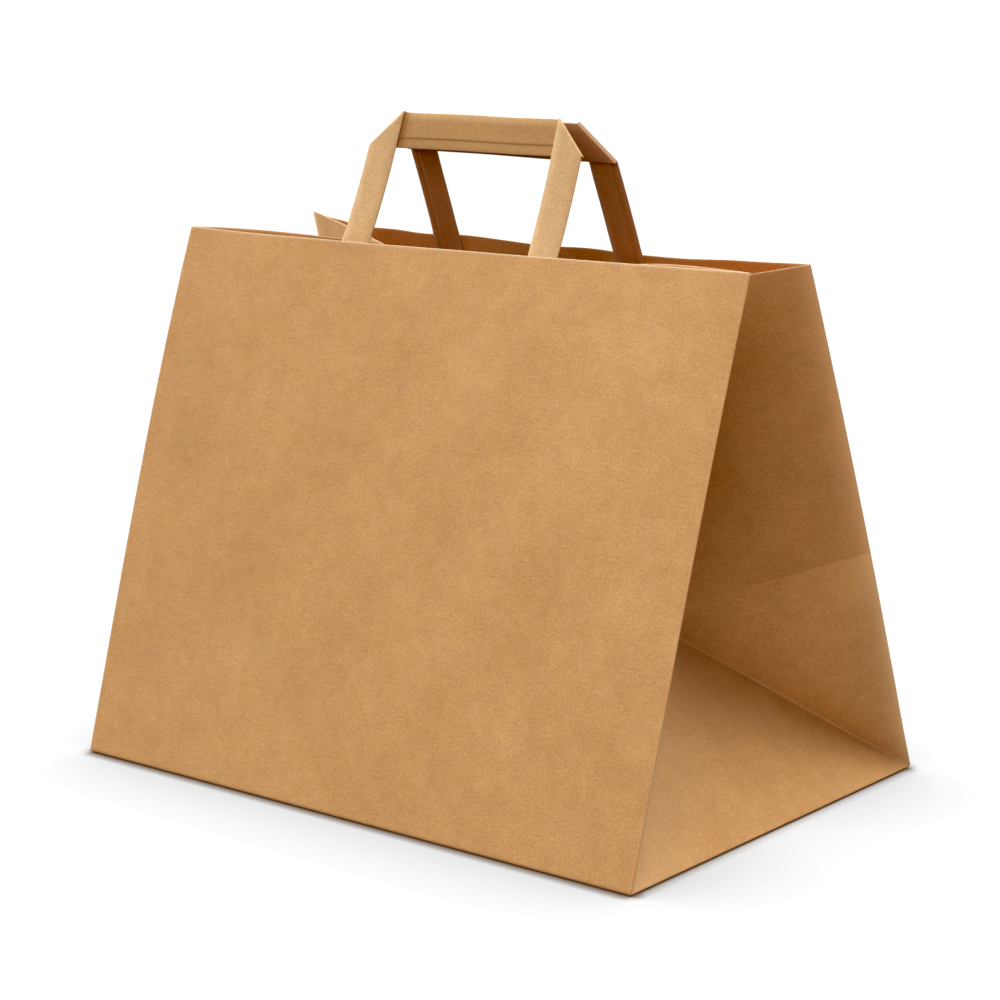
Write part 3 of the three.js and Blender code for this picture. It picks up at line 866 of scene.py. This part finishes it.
# Patches
# A rectangle of the same kraft paper is glued over the two ends of each handle, inside the mouth.
# It steps over each end with a short slope all round it.
patch_below_rim, patch_side_margin, patch_foot_margin = 9.0, 6.0, 8.0
patch_thickness, patch_ramp, patch_ease = 0.25, 4.0, 1.0
step_columns, foot_rows, ramp_rows, tail_rows = 5, 4, 6, 12
patch_flat = 700.0
# The patches take the inside colour, with its painted shade, on both faces.
kraft_patch = kraft("kraft_patch", kraft_inside, kraft_inside)
for which in ("front", "back"):
    panel, inwards = handle_panel(which), 1 if which == "front" else -1
    band_in = leg_x - strip_width / 2 - patch_ease
    band_out = leg_x + strip_width / 2 + tail_length * math.tan(leg_converge) + patch_ease
    over_end = -tail_length - patch_ease
    on_panel = paper_thickness / 2 + glue_gap + patch_thickness / 2
    over_tail = on_panel + strip_thickness + glue_gap

    # The lift over a tail is 1 on it and 0 past the slope beside it.
    def patch_place(x, height):
        beside = max(band_in - abs(x), abs(x) - band_out, over_end - height, 0)
        lift = eased(1 - beside / patch_ramp)
        return inside_panel(panel, inwards, x, height, between(on_panel, over_tail, lift))

    half_patch = band_out + patch_ramp + patch_side_margin
    steps = [0, band_in - patch_ramp, band_in, (band_in + band_out) / 2,
             band_out, band_out + patch_ramp, half_patch]
    fine = sorted({round(between(a, b, k / step_columns), 3)
                   for a, b in zip(steps, steps[1:]) for k in range(step_columns + 1)})
    fine.insert(-1, half_patch - cut_strip)
    patch_columns = [-x for x in reversed(fine[1:])] + fine
    ramp_foot = over_end - patch_ramp
    foot = ramp_foot - patch_foot_margin
    patch_rows = [foot, foot + cut_strip, *np.linspace(foot, ramp_foot, foot_rows)[1:],
                  *np.linspace(ramp_foot, over_end, ramp_rows)[1:],
                  *np.linspace(over_end, -patch_below_rim, tail_rows)[1:-1],
                  -patch_below_rim - cut_strip, -patch_below_rim]
    patch_mesh = laid_sheet(which + "_patch", patch_columns, patch_rows, inwards > 0, patch_place,
                            lambda x, h: (x + patch_flat, h))
    patch = piece_of(which + "_glued_patch", [thickened(patch_mesh, patch_thickness, kraft_patch)])
    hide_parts(which + "_handle_patch")
    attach(patch, "root")

# Floor, lights and camera
# A plain white floor under soft studio light, seen from the front and right and from a little
# above. The floor glows white by itself, and a soft contact shadow is painted on it near the bag.
floor_mesh = bpy.data.meshes.new("floor")
floor_size = 60.0
floor_mesh.from_pydata([(-floor_size, -floor_size, 0), (floor_size, -floor_size, 0),
                        (floor_size, floor_size, 0), (-floor_size, floor_size, 0)],
                       [], [(0, 1, 2, 3)])
floor = bpy.data.objects.new("floor", floor_mesh)
bpy.context.scene.collection.objects.link(floor)
floor_paint = bpy.data.materials.new("white_floor")
floor_paint.use_nodes = True
floor_shader = floor_paint.node_tree.nodes["Principled BSDF"]
floor_shader.inputs["Base Color"].default_value = (0.05, 0.05, 0.05, 1.0)
floor_shader.inputs["Roughness"].default_value = 0.9
floor_shader.inputs["Specular IOR Level"].default_value = 0.0
floor_shader.inputs["Emission Strength"].default_value = 0.95
# The painted shadow fades from grey to white away from the bag, and close to the paper's edge it is
# brown.
floor_nodes, floor_links = floor_paint.node_tree.nodes, floor_paint.node_tree.links
shadow_brown, no_shadow = (0.21, 0.11, 0.05, 1.0), (1.0, 1.0, 1.0, 1.0)
shadows = []
for reach, operation, amount, rest in ((0.085, "MULTIPLY_ADD", 0.72, 0.28),
                                       (0.0065, "POWER", 5.0, 0.0)):
    near = floor_nodes.new("ShaderNodeAmbientOcclusion")
    near.inputs["Distance"].default_value = reach
    near.samples = 8
    shaped = floor_nodes.new("ShaderNodeMath")
    shaped.operation = operation
    shaped.inputs[1].default_value, shaped.inputs[2].default_value = amount, rest
    floor_links.new(near.outputs["AO"], shaped.inputs[0])
    shadows.append(shaped.outputs[0])
contact = floor_nodes.new("ShaderNodeMix")
contact.data_type = "RGBA"
contact.inputs[6].default_value, contact.inputs[7].default_value = shadow_brown, no_shadow
floor_links.new(shadows[1], contact.inputs[0])
both = floor_nodes.new("ShaderNodeMix")
both.data_type, both.blend_type = "RGBA", "MULTIPLY"
both.inputs[0].default_value = 1.0
floor_links.new(contact.outputs[2], both.inputs[6])
floor_links.new(shadows[0], both.inputs[7])
floor_links.new(both.outputs[2], floor_shader.inputs["Emission Color"])
floor_mesh.materials.append(floor_paint)
# Its own glow on the bag is left to the lights below, so that the shaded sides keep their depth.
floor.visible_diffuse = floor.visible_glossy = False

# A white backdrop for the camera and a weak even light for the bag.
world = bpy.data.worlds.new("studio")
world.use_nodes = True
bpy.context.scene.world = world
world_nodes, world_links = world.node_tree.nodes, world.node_tree.links
sky = world_nodes["Background"]
sky.inputs["Color"].default_value = (1.0, 0.86, 0.80, 1.0)
sky.inputs["Strength"].default_value = 0.21
backdrop = world_nodes.new("ShaderNodeBackground")
backdrop.inputs["Color"].default_value = (1.0, 1.0, 1.0, 1.0)
backdrop.inputs["Strength"].default_value = 1.05
ray = world_nodes.new("ShaderNodeLightPath")
either = world_nodes.new("ShaderNodeMixShader")
world_links.new(ray.outputs["Is Camera Ray"], either.inputs["Fac"])
world_links.new(sky.outputs["Background"], either.inputs[1])
world_links.new(backdrop.outputs["Background"], either.inputs[2])
world_links.new(either.outputs["Shader"], world_nodes["World Output"].inputs["Surface"])


# The direction of a place seen from the bag: azimuth in degrees from the front towards the right,
# and elevation.
def direction(azimuth, elevation):
    a, e = math.radians(azimuth), math.radians(elevation)
    return Vector((math.sin(a) * math.cos(e), -math.cos(a) * math.cos(e), math.sin(e)))


# Large soft boxes far off, as wide suns: cool ones on the left and overhead behind, and two weaker
# ones in front, each with its azimuth, elevation, strength, spread and tint.
soft_boxes = [("left_box", -90, 35, 5.3, 60, (0.80, 0.93, 1.0)),
              ("top_box", 180, 65, 4.0, 60, (0.89, 0.98, 1.0)),
              ("front_box", 25, 35, 0.60, 40, (0.98, 1.0, 0.90)),
              ("low_box", 30, 12, 0.55, 60, (1.0, 0.80, 0.77))]
for name, azimuth, elevation, strength, spread, tint in soft_boxes:
    lamp = bpy.data.lights.new(name, "SUN")
    lamp.energy = strength
    lamp.color = tint
    lamp.angle = math.radians(spread)
    light = bpy.data.objects.new(name, lamp)
    light.rotation_euler = (-direction(azimuth, elevation)).to_track_quat("-Z", "Y").to_euler()
    bpy.context.scene.collection.objects.link(light)

# A small panel near the front corner.
near_lamp = bpy.data.lights.new("near_panel", "AREA")
near_lamp.energy, near_lamp.size = 0.53, 0.3
near_light = bpy.data.objects.new("near_panel", near_lamp)
near_light.location = (0.35, -0.6, 0.5)
near_aim = Vector((0, 0, 0.15)) - near_light.location
near_light.rotation_euler = near_aim.to_track_quat("-Z", "Y").to_euler()
bpy.context.scene.collection.objects.link(near_light)

# The camera as fitted to the bag's corners and folds in the photo.
camera_aim, camera_distance = Vector((-8.10, 13.40, 122.99)) * MM, 1.198
camera_azimuth, camera_elevation = 38.686, 11.318
camera_data = bpy.data.cameras.new("camera")
camera_data.sensor_width = 36.0
camera_data.lens = 91.27
camera = bpy.data.objects.new("camera", camera_data)
towards_camera = direction(camera_azimuth, camera_elevation)
camera.location = camera_aim + towards_camera * camera_distance
camera.rotation_euler = (-towards_camera).to_track_quat("-Z", "Y").to_euler()
bpy.context.scene.collection.objects.link(camera)
bpy.context.scene.camera = camera
view = bpy.context.scene.view_settings
view.view_transform = "Standard"
view.use_curve_mapping = True
view.curve_mapping.black_level = (0.02, 0.02, 0.02)
view.curve_mapping.update()
